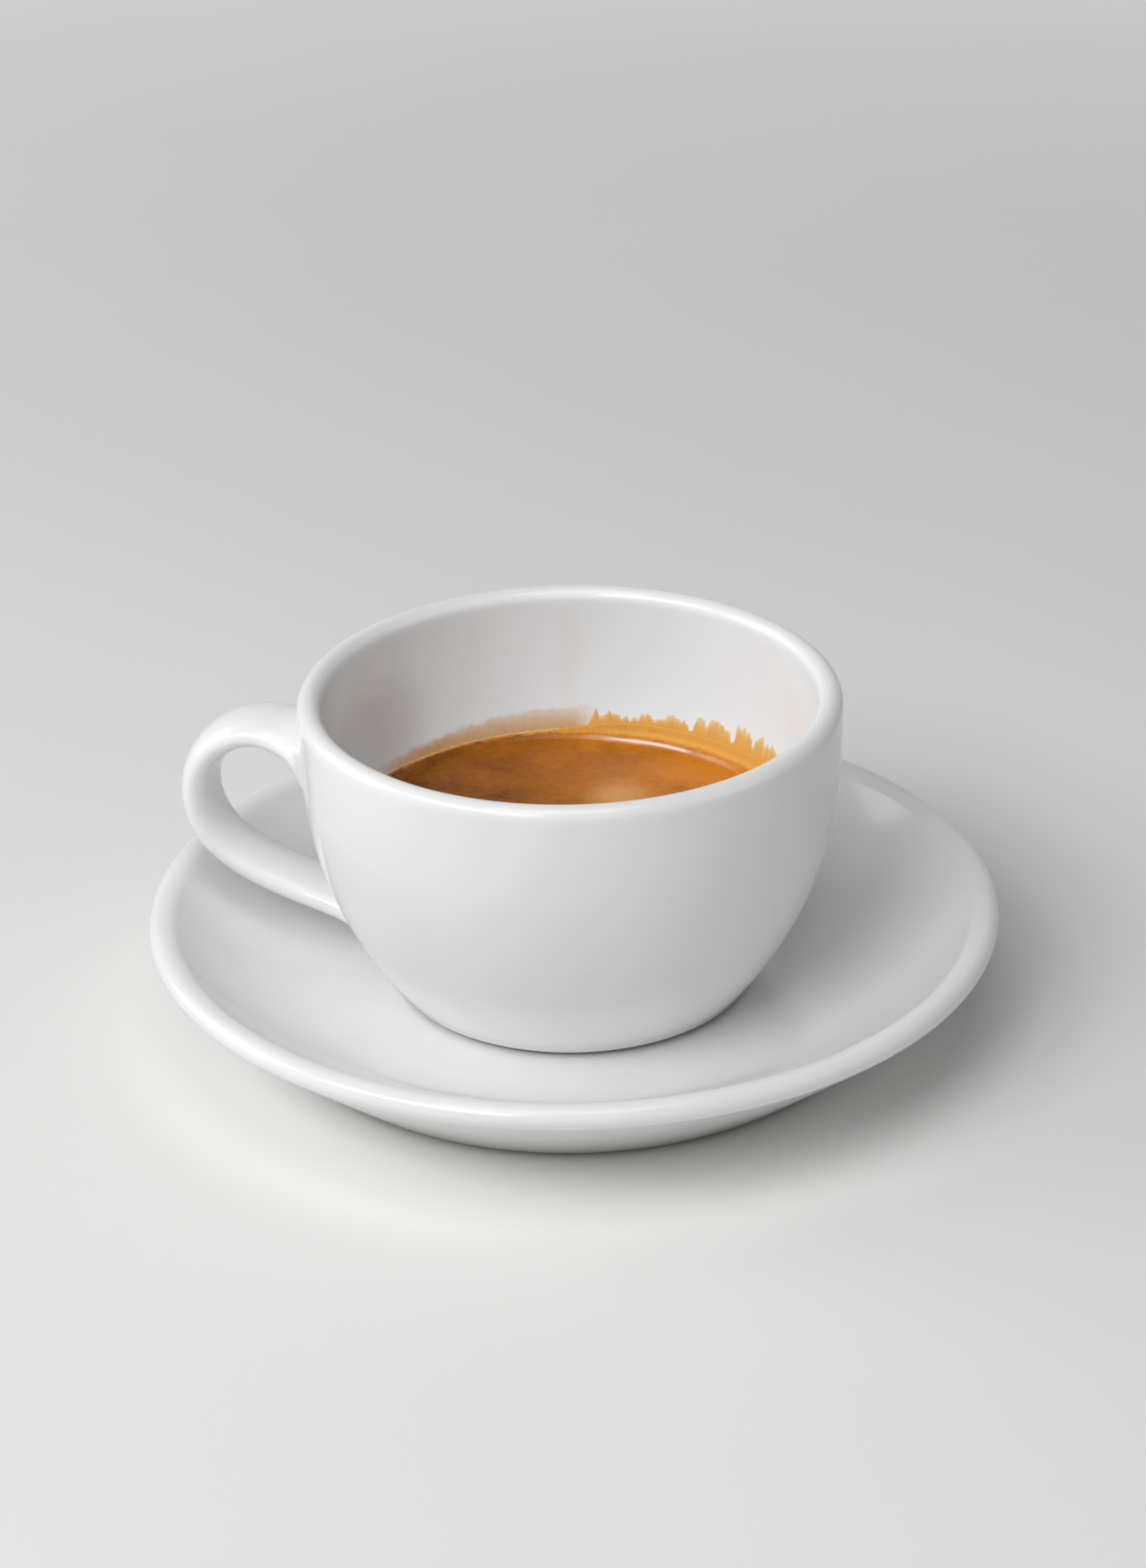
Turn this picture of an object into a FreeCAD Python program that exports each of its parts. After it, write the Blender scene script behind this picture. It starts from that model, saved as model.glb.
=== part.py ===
"""Espresso in a porcelain cup with an ear handle, standing on its saucer.

Millimetres, +Z up. The origin is the middle of the saucer's foot, on the table.
The handle points along -X, and the cup and saucer are round about the Z axis.
"""
import FreeCAD, Part
import math
import os

# ---------------------------------------------------------------- saucer
SAUCER_MARGIN = 27.75             # saucer beyond the cup's rim, room for the handle and a spoon
SAUCER_LIP_HEIGHT = 19.9          # middle of the rolled lip above the table
SAUCER_LIP_ROUND = 2.05
SAUCER_LIP_WIDTH = 5.0            # outer edge in to the crease beside the lip
SAUCER_CREASE_DROP = 1.85         # crease below the top of the lip
SAUCER_WELL_CLEARANCE = 5.6       # flat middle beyond the cup's foot
SAUCER_WELL_HEIGHT = 7.0
SAUCER_FOOT_RADIUS = 52.3
SAUCER_FOOT_WIDTH = 4.0
SAUCER_FOOT_ROUND = 0.8
SAUCER_RECESS = 2.6               # hollow inside the foot ring

# ---------------------------------------------------------------- cup
CUP_HEIGHT = 55.0
CUP_RIM_RADIUS = 47.25
CUP_WALL = 4.2                    # at the lip, which is fully rounded
CUP_HEEL_RADIUS = 31.65           # where the bowl turns under to its foot
CUP_HEEL_HEIGHT = 1.0
CUP_HEEL_ROUND = 0.6
CUP_BELLY_POWER = 2.72            # higher keeps the wall upright further down
CUP_CAVITY_POWER = 3.0            # higher makes the inside squarer
CUP_FLOOR = 5.4                   # thickness of the bottom
CUP_FOOT_INSET = 2.25             # foot in from the heel
CUP_FOOT_WIDTH = 3.0
CUP_RECESS = 0.9                  # hollow under the cup

# ---------------------------------------------------------------- handle
HANDLE_WIDTH = 12.9
HANDLE_THICKNESS = 6.1
HANDLE_REACH = 19.3               # middle of the strap, out from the rim
HANDLE_TOP_DROP = 11.9            # middle of the strap's top, below the top of the lip
HANDLE_END_HEIGHT = 7.5           # middle of the strap's lower end, above the heel
HANDLE_ROOT_WIDEN = 1.6           # growth of the strap's width where it meets the cup
HANDLE_ROOT_THICKEN = 1.2
HANDLE_ROOT_FADE = 2.9            # distance over which that growth dies away
HANDLE_TAPER = 0.18               # share of its width that the strap loses from top to end
# middle of the strap between its two ends: shares of the reach, and of the handle's height
HANDLE_BENDS = ((0.19, 0.97), (0.44, 1.0), (1.0, 0.83), (0.995, 0.405), (0.64, 0.23), (0.14, 0.113))
HANDLE_START = 0.92               # height of the upper end, as a share of the handle's height
HANDLE_SECTIONS = 17

# ---------------------------------------------------------------- drink
DRINK_BELOW_LIP = 28.0            # level of the crema below the top of the lip
CREMA_THICKNESS = 2.4
CREMA_CLIMB = 0.9                 # how far the crema creeps up the wall
CREMA_CLIMB_WIDTH = 2.4

# ---------------------------------------------------------------- places that the sizes give
SAUCER_RADIUS = CUP_RIM_RADIUS + SAUCER_MARGIN
CUP_FOOT_RADIUS = CUP_HEEL_RADIUS - CUP_FOOT_INSET
SAUCER_WELL_RADIUS = CUP_FOOT_RADIUS + SAUCER_WELL_CLEARANCE
CUP_BASE = SAUCER_WELL_HEIGHT     # the cup's foot stands on the saucer's well
CUP_TOP = CUP_BASE + CUP_HEIGHT
LIP_ROUND = CUP_WALL / 2
LIP_MIDDLE = CUP_TOP - LIP_ROUND
HEEL_TOP = CUP_BASE + CUP_HEEL_HEIGHT
CAVITY_RADIUS = CUP_RIM_RADIUS - CUP_WALL
CAVITY_BOTTOM = CUP_BASE + CUP_FLOOR
DRINK_TOP = CUP_TOP - DRINK_BELOW_LIP
CREMA_BOTTOM = DRINK_TOP - CREMA_THICKNESS
PROFILE_STEPS = 12                # points that carry each bowl curve


OUT = FreeCAD.Vector(1, 0, 0)
UP = FreeCAD.Vector(0, 0, 1)


def point(radius, height):
    """A point of an outline, in the XZ plane."""
    return FreeCAD.Vector(radius, 0, height)


def line(start, end):
    return Part.LineSegment(start, end).toShape()


def arc(start, middle, end):
    return Part.Arc(start, middle, end).toShape()


def on_circle(centre, radius, degrees):
    angle = math.radians(degrees)
    return centre + FreeCAD.Vector(radius * math.cos(angle), 0, radius * math.sin(angle))


def turn_arc(centre, radius, start_degrees, end_degrees):
    """An arc about a centre in the XZ plane, between two angles."""
    middle_degrees = (start_degrees + end_degrees) / 2
    ends = [on_circle(centre, radius, a) for a in (start_degrees, middle_degrees, end_degrees)]
    return arc(*ends)


def curve(points, start_direction, end_direction):
    """A smooth line through the points, which leaves and arrives in the given directions."""
    spline = Part.BSplineCurve()
    spline.interpolate(Points=points, InitialTangent=start_direction, FinalTangent=end_direction)
    return spline.toShape()


def revolved(edges):
    """The solid that a closed outline sweeps about the Z axis."""
    face = Part.Face(Part.Wire(edges))
    return face.revolve(FreeCAD.Vector(0, 0, 0), UP, 360)


# ---------------------------------------------------------------- bowl of the cup
def cup_radius(height):
    """Outside of the bowl: upright at the lip, curving in ever faster down to the heel."""
    depth = (LIP_MIDDLE - height) / (LIP_MIDDLE - HEEL_TOP)
    return CUP_RIM_RADIUS - (CUP_RIM_RADIUS - CUP_HEEL_RADIUS) * depth ** CUP_BELLY_POWER


def cavity_radius(height):
    """Inside of the bowl, a superellipse from the lip down to the middle of the floor."""
    depth = (LIP_MIDDLE - height) / (LIP_MIDDLE - CAVITY_BOTTOM)
    return CAVITY_RADIUS * (1 - depth ** CUP_CAVITY_POWER) ** (1 / CUP_CAVITY_POWER)


def bowl_outside():
    """From the heel up to the lip."""
    rise = LIP_MIDDLE - HEEL_TOP
    heights = [HEEL_TOP + rise * step / PROFILE_STEPS for step in range(PROFILE_STEPS + 1)]
    heel_slope = CUP_BELLY_POWER * (CUP_RIM_RADIUS - CUP_HEEL_RADIUS) / rise
    return curve([point(cup_radius(height), height) for height in heights], point(heel_slope, 1), UP)


def bowl_inside():
    """From the middle of the floor up to the lip, with points spread evenly round the bend."""
    depth = LIP_MIDDLE - CAVITY_BOTTOM
    turns = [math.pi / 2 * step / PROFILE_STEPS for step in range(PROFILE_STEPS)]
    heights = [LIP_MIDDLE - depth * math.cos(turn) ** (2 / CUP_CAVITY_POWER) for turn in turns]
    points = [point(cavity_radius(height), height) for height in heights]
    return curve(points + [point(CAVITY_RADIUS, LIP_MIDDLE)], OUT, UP)


def cup_bowl():
    lip = point(CUP_RIM_RADIUS - LIP_ROUND, LIP_MIDDLE)
    heel_inner = CUP_HEEL_RADIUS - CUP_HEEL_ROUND
    heel_low = HEEL_TOP - CUP_HEEL_ROUND
    foot_inner = CUP_FOOT_RADIUS - CUP_FOOT_WIDTH
    recess_top = CUP_BASE + CUP_RECESS
    return revolved([
        bowl_inside(),
        turn_arc(lip, LIP_ROUND, 180, 0),
        bowl_outside(),
        turn_arc(point(heel_inner, HEEL_TOP), CUP_HEEL_ROUND, 0, -90),
        line(point(heel_inner, heel_low), point(CUP_FOOT_RADIUS, heel_low)),
        line(point(CUP_FOOT_RADIUS, heel_low), point(CUP_FOOT_RADIUS, CUP_BASE)),
        line(point(CUP_FOOT_RADIUS, CUP_BASE), point(foot_inner, CUP_BASE)),
        line(point(foot_inner, CUP_BASE), point(foot_inner, recess_top)),
        line(point(foot_inner, recess_top), point(0, recess_top)),
        line(point(0, recess_top), point(0, CAVITY_BOTTOM)),
    ])


def cavity():
    """The room inside the cup, up to the lip."""
    return revolved([
        bowl_inside(),
        line(point(CAVITY_RADIUS, LIP_MIDDLE), point(0, LIP_MIDDLE)),
        line(point(0, LIP_MIDDLE), point(0, CAVITY_BOTTOM)),
    ])


# ---------------------------------------------------------------- handle
def handle_path():
    """Middle line of the strap, from inside the wall at the top round to inside the wall below."""
    top = CUP_TOP - HANDLE_TOP_DROP
    low = HEEL_TOP + HANDLE_END_HEIGHT

    def rooted(height):
        return point(CUP_WALL / 2 - cup_radius(height), height)

    def bend(reach, rise):
        return point(-CUP_RIM_RADIUS - reach * HANDLE_REACH, low + rise * (top - low))

    bends = [bend(reach, rise) for reach, rise in HANDLE_BENDS]
    spline = Part.BSplineCurve()
    spline.interpolate([rooted(low + HANDLE_START * (top - low))] + bends + [rooted(low)])
    return spline


def handle_section(path, share):
    """The strap's oval across the path, wider and thicker where it grows out of the wall."""
    first, last = path.FirstParameter, path.LastParameter
    at = first + share * (last - first)
    middle = path.value(at)
    along = path.tangent(at)[0]
    across = FreeCAD.Vector(0, 1, 0)
    outward = across.cross(along)
    clear = max(0, -middle.x - cup_radius(middle.z))
    root = math.exp(-clear / HANDLE_ROOT_FADE)
    taper = 1 - HANDLE_TAPER * (share - 0.5)
    half_width = HANDLE_WIDTH / 2 * taper * (1 + (HANDLE_ROOT_WIDEN - 1) * root)
    half_thickness = HANDLE_THICKNESS / 2 * (1 + (HANDLE_ROOT_THICKEN - 1) * root)
    oval = Part.Ellipse(middle + across * half_width, middle + outward * half_thickness, middle)
    return Part.Wire(oval.toShape())


def handle():
    path = handle_path()
    sections = [handle_section(path, step / (HANDLE_SECTIONS - 1)) for step in range(HANDLE_SECTIONS)]
    return Part.makeLoft(sections, True, False)


def cup():
    """The handle is trimmed by the cavity, then joined to the bowl in one solid."""
    return cup_bowl().fuse(handle().cut(cavity())).removeSplitter()


# ---------------------------------------------------------------- saucer
def saucer():
    lip = point(SAUCER_RADIUS - SAUCER_LIP_ROUND, SAUCER_LIP_HEIGHT)
    lip_top = on_circle(lip, SAUCER_LIP_ROUND, 90)
    crease = point(SAUCER_RADIUS - SAUCER_LIP_WIDTH, lip_top.z - SAUCER_CREASE_DROP)
    well = point(SAUCER_WELL_RADIUS, SAUCER_WELL_HEIGHT)
    foot = point(SAUCER_FOOT_RADIUS, SAUCER_FOOT_ROUND)
    foot_middle = point(SAUCER_FOOT_RADIUS - SAUCER_FOOT_ROUND, SAUCER_FOOT_ROUND)
    foot_inner = SAUCER_FOOT_RADIUS - SAUCER_FOOT_WIDTH

    # the roll's inner side: a round that is level at the top of the lip and ends in the crease
    roll_run = lip_top.x - crease.x
    roll_radius = (roll_run ** 2 + SAUCER_CREASE_DROP ** 2) / (2 * SAUCER_CREASE_DROP)
    roll_middle = point(lip_top.x, lip_top.z - roll_radius)
    crease_angle = 90 + math.degrees(math.asin(roll_run / roll_radius))

    # the slope: a round that leaves the well level and climbs to the crease
    slope_run = crease.x - well.x
    slope_rise = crease.z - well.z
    slope_radius = (slope_run ** 2 + slope_rise ** 2) / (2 * slope_rise)
    slope_middle = point(well.x, well.z + slope_radius)
    slope_angle = -90 + math.degrees(math.asin(slope_run / slope_radius))

    # the underside: straight from the foot's round to where it touches the lip's round
    reach = lip.sub(foot_middle)
    lean = math.degrees(math.atan2(reach.z, reach.x))
    touch = lean - 90 - math.degrees(math.asin((SAUCER_LIP_ROUND - SAUCER_FOOT_ROUND) / reach.Length))
    foot_touch = on_circle(foot_middle, SAUCER_FOOT_ROUND, touch)
    lip_touch = on_circle(lip, SAUCER_LIP_ROUND, touch)

    return revolved([
        line(point(0, SAUCER_RECESS), point(foot_inner, SAUCER_RECESS)),
        line(point(foot_inner, SAUCER_RECESS), point(foot_inner, 0)),
        line(point(foot_inner, 0), point(foot_middle.x, 0)),
        turn_arc(foot_middle, SAUCER_FOOT_ROUND, -90, touch),
        line(foot_touch, lip_touch),
        turn_arc(lip, SAUCER_LIP_ROUND, touch, 90),
        turn_arc(roll_middle, roll_radius, 90, crease_angle),
        turn_arc(slope_middle, slope_radius, slope_angle, -90),
        line(well, point(0, SAUCER_WELL_HEIGHT)),
        line(point(0, SAUCER_WELL_HEIGHT), point(0, SAUCER_RECESS)),
    ])


# ---------------------------------------------------------------- drink
def coffee():
    """The liquid fills the cavity up to the crema."""
    return cavity().common(Part.makeCylinder(CUP_RIM_RADIUS, CREMA_BOTTOM - CUP_BASE, point(0, CUP_BASE)))


def crema():
    """The foam lies level on the coffee and creeps up the wall in a small hollow round."""
    level_end = cavity_radius(DRINK_TOP) - CREMA_CLIMB_WIDTH
    climb_radius = (CREMA_CLIMB_WIDTH ** 2 + CREMA_CLIMB ** 2) / (2 * CREMA_CLIMB)
    climb_middle = point(level_end, DRINK_TOP + climb_radius)
    climb_angle = -90 + math.degrees(math.asin(CREMA_CLIMB_WIDTH / climb_radius))
    climb_end = on_circle(climb_middle, climb_radius, climb_angle)
    outside = climb_end + FreeCAD.Vector(CUP_WALL / 2, 0, 0)
    layer = revolved([
        line(point(0, CREMA_BOTTOM), point(outside.x, CREMA_BOTTOM)),
        line(point(outside.x, CREMA_BOTTOM), outside),
        line(outside, climb_end),
        turn_arc(climb_middle, climb_radius, climb_angle, -90),
        line(point(level_end, DRINK_TOP), point(0, DRINK_TOP)),
        line(point(0, DRINK_TOP), point(0, CREMA_BOTTOM)),
    ])
    return cavity().common(layer)


def main():
    os.makedirs("parts", exist_ok=True)
    nodes = {"saucer": saucer(), "cup": cup(), "coffee": coffee(), "crema": crema()}
    for name, shape in nodes.items():
        shape.exportStep(f"parts/{name}.step")
        size = shape.optimalBoundingBox()
        print(f"{name}: {len(shape.Solids)} solid, valid {shape.isValid()}, {shape.Volume / 1000:.1f} cm3, "
              f"{size.XLength:.1f} x {size.YLength:.1f} x {size.ZLength:.1f} mm")


main()
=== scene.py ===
"""Espresso with crema in a porcelain cup on its saucer, dressed over the CAD frame.

Metres, +Z up. The origin is the middle of the saucer's foot and the handle points along -X.
"""
import math

import bmesh
import bpy
import numpy as np
from bpy.props import FloatProperty, FloatVectorProperty, IntProperty, PointerProperty
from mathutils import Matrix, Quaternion, Vector, noise


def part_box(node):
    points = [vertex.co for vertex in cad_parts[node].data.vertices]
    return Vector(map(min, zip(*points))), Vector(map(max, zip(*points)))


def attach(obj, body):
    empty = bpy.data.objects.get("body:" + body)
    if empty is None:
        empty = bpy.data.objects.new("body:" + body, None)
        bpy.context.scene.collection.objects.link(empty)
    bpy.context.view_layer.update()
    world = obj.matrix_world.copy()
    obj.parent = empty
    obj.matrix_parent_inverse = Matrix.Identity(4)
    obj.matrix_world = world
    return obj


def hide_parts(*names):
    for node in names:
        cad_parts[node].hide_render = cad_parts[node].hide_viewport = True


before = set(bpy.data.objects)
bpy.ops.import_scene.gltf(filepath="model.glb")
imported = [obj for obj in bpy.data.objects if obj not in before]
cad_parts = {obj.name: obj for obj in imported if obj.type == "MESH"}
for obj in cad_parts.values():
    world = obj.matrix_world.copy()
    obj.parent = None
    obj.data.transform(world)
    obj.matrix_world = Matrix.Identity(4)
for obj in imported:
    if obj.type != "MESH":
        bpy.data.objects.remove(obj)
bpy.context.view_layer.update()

bl_info = {
    "name": "Espresso cup and saucer",
    "version": (1, 0, 0),
    "blender": (4, 5, 0),
    "location": "3D View > Sidebar > Espresso",
    "description": "Porcelain cup and saucer holding an espresso with its crema",
    "category": "Add Mesh",
}

MM = 0.001
FOOT_EDGE = 0.25 * MM       # round of the narrow edges of both foot rings
SAUCER_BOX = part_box("saucer")
CUP_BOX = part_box("cup")
CREMA_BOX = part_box("crema")


def linear(hex_colour):
    """An sRGB hex value as linear red, green and blue."""
    parts = [int(hex_colour[at:at + 2], 16) / 255 for at in (1, 3, 5)]
    return tuple(c / 12.92 if c <= 0.04045 else ((c + 0.055) / 1.055) ** 2.4 for c in parts)


def length(name, default, description):
    """A size in metres that shows in the scene's units."""
    return FloatProperty(name=name, description=description, default=default, min=0,
                         subtype="DISTANCE", unit="LENGTH", precision=5)


def colour(name, default, description):
    return FloatVectorProperty(name=name, description=description, default=linear(default),
                               size=3, min=0, max=1, subtype="COLOR")


def number(name, default, description, least=0):
    return FloatProperty(name=name, description=description, default=default, min=least)


def angle(name, degrees, description):
    return FloatProperty(name=name, description=description, default=math.radians(degrees),
                         subtype="ANGLE", unit="ROTATION")


def power(name, default, description):
    """Watts of a lamp."""
    return FloatProperty(name=name, description=description, default=default, min=0,
                         subtype="POWER", unit="POWER")


# ---------------------------------------------------------------- sizes and colours
class SaucerSizes(bpy.types.PropertyGroup):
    radius: length("Radius", SAUCER_BOX[1].x, "Outer edge of the rolled lip")
    lip_height: length("Lip height", 19.9 * MM, "Middle of the rolled lip above the table")
    lip_round: length("Lip round", 2.05 * MM, "Radius of the rolled lip")
    lip_roll: length("Lip roll", 4.4 * MM, "Radius with which the slope rolls over into the lip")
    well_radius: length("Well radius", 35 * MM, "Flat middle that the cup stands on")
    well_height: length("Well height", CUP_BOX[0].z, "Flat middle above the table")
    foot_radius: length("Foot radius", 52.3 * MM, "Outside of the foot ring")
    foot_width: length("Foot width", 4 * MM, "Width of the foot ring")
    foot_round: length("Foot round", 0.8 * MM, "Round of the foot ring's outer edge")
    recess: length("Recess", 2.6 * MM, "Hollow inside the foot ring")
    bare: length("Bare foot", 0.95 * MM, "Height of the foot that is wiped free of glaze")
    turns: IntProperty(name="Turns", description="Steps round the saucer", default=192, min=24)


class CupSizes(bpy.types.PropertyGroup):
    top: length("Top", CUP_BOX[1].z, "Top of the lip above the table")
    base: length("Base", CUP_BOX[0].z, "Bottom of the foot above the table")
    rim_radius: length("Rim radius", CUP_BOX[1].x, "Outside of the bowl at the lip")
    wall: length("Wall", 4.2 * MM, "Thickness at the lip, which is fully rounded")
    heel_radius: length("Heel radius", 31.65 * MM, "Where the bowl turns under to its foot")
    heel_height: length("Heel height", 1.2 * MM, "Heel above the bottom of the foot")
    heel_round: length("Heel round", 0.45 * MM, "Radius of the edge at the heel")
    belly_power: number("Belly", 2.72, "Higher keeps the outside upright further down", 1)
    cavity_power: number("Cavity", 3, "Higher makes the inside squarer", 1)
    floor: length("Floor", 5.4 * MM, "Thickness of the bottom")
    foot_radius: length("Foot radius", 29.4 * MM, "Outside of the foot ring")
    foot_width: length("Foot width", 3 * MM, "Width of the foot ring")
    recess: length("Recess", 0.9 * MM, "Hollow inside the foot ring")
    # set above the foot, onto the heel, so that the bare grey also paints shade along the line
    # where the cup stands
    bare: length("Bare foot", 0.9 * MM, "Height of the foot that is wiped free of glaze")

    @property
    def lip_middle(self):
        return self.top - self.wall / 2

    @property
    def heel_top(self):
        return self.base + self.heel_height

    @property
    def cavity_bottom(self):
        return self.base + self.floor

    def outside(self, height):
        """Radius of the bowl's outside: upright at the lip, curving in down to the heel."""
        depth = (self.lip_middle - height) / (self.lip_middle - self.heel_top)
        shrink = (self.rim_radius - self.heel_radius) * max(0, depth) ** self.belly_power
        return self.rim_radius - shrink

    def inside(self, height):
        """Radius of the bowl's inside, a superellipse from the lip down to the floor."""
        depth = (self.lip_middle - height) / (self.lip_middle - self.cavity_bottom)
        power = self.cavity_power
        return (self.rim_radius - self.wall) * (1 - max(0, depth) ** power) ** (1 / power)


class HandleSizes(bpy.types.PropertyGroup):
    width: length("Width", 12.9 * MM, "Width of the strap")
    thickness: length("Thickness", 6.1 * MM, "Thickness of the strap")
    reach: length("Reach", 19.3 * MM, "Middle of the strap, out from the rim")
    top_drop: length("Top drop", 11.9 * MM, "Middle of the strap's top, below the lip")
    end_height: length("End height", 7.5 * MM, "Middle of the strap's lower end, above the heel")
    root_widen: number("Root widening", 1.6, "Growth of the strap's width at the cup", 1)
    root_thicken: number("Root thickening", 1.2, "Growth of its thickness at the cup", 1)
    root_fade: length("Root fade", 2.9 * MM, "Distance over which that growth dies away")
    taper: number("Taper", 0.18, "Share of its width that the strap loses from top to end")
    upper_root: length("Upper root", 10 * MM, "Height of wall that the upper root takes")
    lower_root: length("Lower root", 13 * MM, "Height of wall that the lower root takes")


class DrinkSizes(bpy.types.PropertyGroup):
    level: length("Level", CREMA_BOX[1].z - 0.9 * MM, "Level of the crema above the table")
    bottom: length("Bottom", CREMA_BOX[0].z, "Where the crema lies on the coffee")
    collar: length("Collar", 0.85 * MM, "Step up to the thicker ring of foam along the wall")
    collar_width: length("Collar width", 2.85 * MM, "Width of that ring where it is full")
    collar_slope: length("Collar slope", 0.91 * MM, "Width of the step itself")
    climb: length("Climb", 1.3 * MM, "How far the ring creeps up the wall")
    ripple: length("Ripple", 0.05 * MM, "Height of the slow unevenness of the crema")
    bubbles: IntProperty(name="Bubbles", default=110, min=0,
                         description="Small bubbles strung along the wall")
    bubble: length("Bubble", 0.13 * MM, "Radius of a usual bubble")


class ResidueSizes(bpy.types.PropertyGroup):
    thickness: length("Thickness", 0.3 * MM, "Thickness of the film where it leaves the crema")
    finger: length("Finger", 1.3 * MM, "Height of the fingers along its upper edge")
    seed: IntProperty(name="Seed", default=7, description="Picks another set of small fingers")


class FinishColours(bpy.types.PropertyGroup):
    glaze: colour("Glaze", "#eeeeee", "White glaze of the cup and saucer")
    # painted light: a paler white for the bowl's inside that stands in for light the bowl lacks;
    # the glaze is not thicker there
    bowl_painted_light: colour("Glaze, inside", "#fafafa", "The same glaze pooled thicker in the bowl")
    # real bare and worn foot, and on the cup's heel also painted shade along the line where the cup
    # stands
    bisque_and_painted_shade: colour("Bisque", "#a39c90", "Bare ring of each foot, wiped free of glaze and worn")
    coffee: colour("Coffee", "#2a1409", "Coffee under the crema")
    # crema_dark also gives the painted shade of the rim on the crema, by the handle and at the
    # front
    crema_dark: colour("Crema, dark", "#683405", "Thin patches, where the coffee shows through")
    crema_mid: colour("Crema, middle", "#cf7b19", "Most of the crema")
    crema_light: colour("Crema, light", "#dca05c", "Thick patches of the crema")
    residue: colour("Residue", "#eca750", "Film that the crema left on the wall")
    residue_edge: colour("Residue, edge", "#f4be6e", "The same film where it thins out")
    stain: colour("Stain", "#edd1ae", "Pale dried film above the crema")
    stain_edge: colour("Stain, dense", "#d69a52", "The same film where it lies thicker")
    smudge: colour("Smudge", "#b8a8a4", "Greyish smudge on the wall, on the handle's side")
    bounce: colour("Bounce", "#9e9e9f", "Light that the crema and its film throw on the bowl")


class StageSizes(bpy.types.PropertyGroup):
    floor: length("Floor", 8, "Side of the floor")
    floor_colour: colour("Floor colour", "#f0f0ef", "Pale matt floor")
    far_floor: number("Far floor", 0.84, "How pale the floor shows where no lamp reaches it")
    turn: angle("Turn", -76, "Camera's place round the cup, from +X")
    rise: angle("Rise", 26.198, "Camera above the horizon")
    roll: angle("Roll", -1.115, "Camera's tilt about its own line of sight")
    distance: length("Distance", 0.6808, "Camera to the point that it looks at")
    look_aside: length("Look aside", 0.31 * MM, "That point to the right of the cup's middle")
    look_height: length("Look height", 43.73 * MM, "That point above the table")
    lens: FloatProperty(name="Lens", description="Focal length", default=89.42, min=1,
                        subtype="DISTANCE_CAMERA", unit="CAMERA")
    key: power("Key", 9.8, "Wide soft light, front left")
    top: power("Top", 4.9, "Large soft light overhead, to the front")
    left: power("Left", 5.1, "Large soft light on the handle's side")
    front: power("Front", 1, "Weak soft light, low in front")
    right: power("Right", 0.9, "Weak soft light on the side away from the handle")
    fill: number("Fill", 0.1, "Even light from all round")
    surroundings: number("Surroundings", 0.74, "How bright they are where seen or reflected")


# ---------------------------------------------------------------- helpers
def add_node(tree, kind, values=None, **settings):
    """Adds a node with its settings; an input takes a value, or a link from a node or socket."""
    made = tree.nodes.new(kind)
    for name, value in settings.items():
        setattr(made, name, value)
    for key, value in (values or {}).items():
        if isinstance(key, int):
            socket = made.inputs[key]
        else:
            socket = next(s for s in made.inputs if s.enabled and s.name == key)
        if isinstance(value, bpy.types.Node):
            value = next(s for s in value.outputs if s.enabled)
        if isinstance(value, bpy.types.NodeSocket):
            tree.links.new(value, socket)
        else:
            socket.default_value = value
    return made


def rgba(values):
    return (*values, 1)


def show(name, mesh):
    """A mesh as an object of its own, at the origin."""
    made = bpy.data.objects.new(name, mesh)
    bpy.context.scene.collection.objects.link(made)
    return made


def add_mesh(name, verts, faces, material):
    """A smooth closed mesh object with its faces pointing outwards."""
    work = bmesh.new()
    placed = [work.verts.new(v) for v in verts]
    for face in faces:
        work.faces.new([placed[i] for i in face]).smooth = True
    bmesh.ops.recalc_face_normals(work, faces=work.faces)
    mesh = bpy.data.meshes.new(name)
    work.to_mesh(mesh)
    work.free()
    mesh.materials.append(material)
    return show(name, mesh)


def round_ring(radius, height, columns):
    """Evenly spaced points of a level ring, from +X anticlockwise."""
    turns = [2 * math.pi * column / columns for column in range(columns)]
    return [(radius * math.cos(turn), radius * math.sin(turn), height) for turn in turns]


def band(one, other):
    """Faces that join two closed rings, each given by the numbers of its points."""
    return list(zip(one, one[1:] + one[:1], other[1:] + other[:1], other))


def closed_rings(rings, low, high):
    """Points and faces of a round piece from its rings of points, closed by two middle points."""
    verts = [low] + [point for ring in rings for point in ring] + [high]
    columns = len(rings[0])
    numbers = [list(range(1 + at * columns, 1 + (at + 1) * columns)) for at in range(len(rings))]
    faces = [face for one, other in zip(numbers, numbers[1:]) for face in band(one, other)]
    for a, b, c, d in band(numbers[0], numbers[-1]):
        faces += [(0, b, a), (len(verts) - 1, d, c)]
    return verts, faces


def new_tree(name, inputs):
    """An empty geometry tree with its named inputs, and the node that gives them."""
    tree = bpy.data.node_groups.new(name, "GeometryNodeTree")
    for label, kind in [("Geometry", "NodeSocketGeometry")] + inputs:
        tree.interface.new_socket(label, in_out="INPUT", socket_type=kind)
    tree.interface.new_socket("Geometry", in_out="OUTPUT", socket_type="NodeSocketGeometry")
    return tree, add_node(tree, "NodeGroupInput").outputs


def run_tree(obj, tree, values, name):
    """Runs a tree on an object, and leaves only the result, as a plain mesh object."""
    modifier = obj.modifiers.new(tree.name, "NODES")
    modifier.node_group = tree
    for item in tree.interface.items_tree:
        if item.in_out == "INPUT" and item.name in values:
            modifier[item.identifier] = values[item.name]
    depsgraph = bpy.context.evaluated_depsgraph_get()
    mesh = bpy.data.meshes.new_from_object(obj.evaluated_get(depsgraph))
    bpy.data.objects.remove(obj)
    if not mesh.polygons:
        raise RuntimeError(f"{name} came out empty")
    mesh.name = name
    return show(name, mesh)


def clamp(value, most=1):
    return min(most, max(0, value))


def ease(share):
    """A share from 0 to 1, eased at both ends."""
    return share * share * (3 - 2 * share)


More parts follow.
